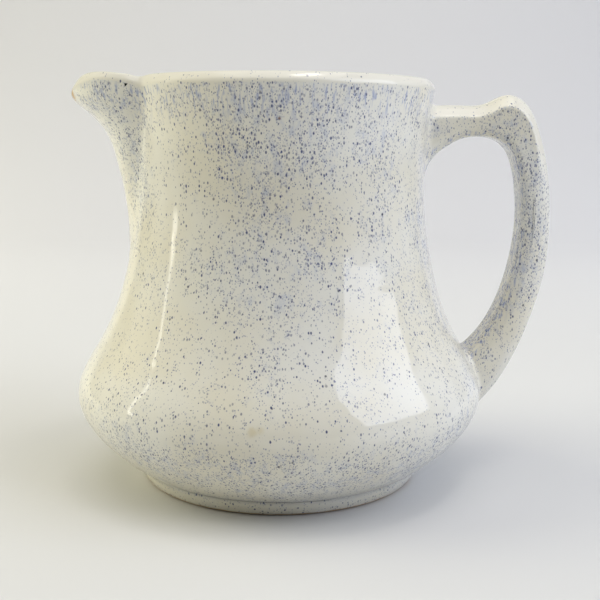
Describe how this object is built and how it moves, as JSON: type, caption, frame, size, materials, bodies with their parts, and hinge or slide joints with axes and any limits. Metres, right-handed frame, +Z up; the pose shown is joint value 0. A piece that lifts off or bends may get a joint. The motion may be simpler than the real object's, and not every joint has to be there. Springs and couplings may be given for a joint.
{
  "type": "pitcher",
  "caption": "Glazed stoneware pitcher with a low wide belly, waisted neck, beaked pouring spout, ear handle and foot ring.",
  "frame": {"origin": "centre of the foot ring on the resting plane", "axes": "+Z up, spout towards -X, handle towards +X, both sides of the XZ plane alike"},
  "size_m": [0.1991, 0.1698, 0.1662],
  "materials": {
    "speckled_glaze": "gloss cream glaze with fine cobalt-blue speckles",
    "foot_glaze": "the same glaze, wiped off the bare-clay resting edge"
  },
  "bodies": {
    "root": {"body": "speckled_glaze", "foot_ring": "foot_glaze", "spout": "speckled_glaze", "spout_lute": "speckled_glaze", "handle": "speckled_glaze", "handle_upper_lute": "speckled_glaze", "handle_lower_lute": "speckled_glaze"}
  },
  "joints": []
}
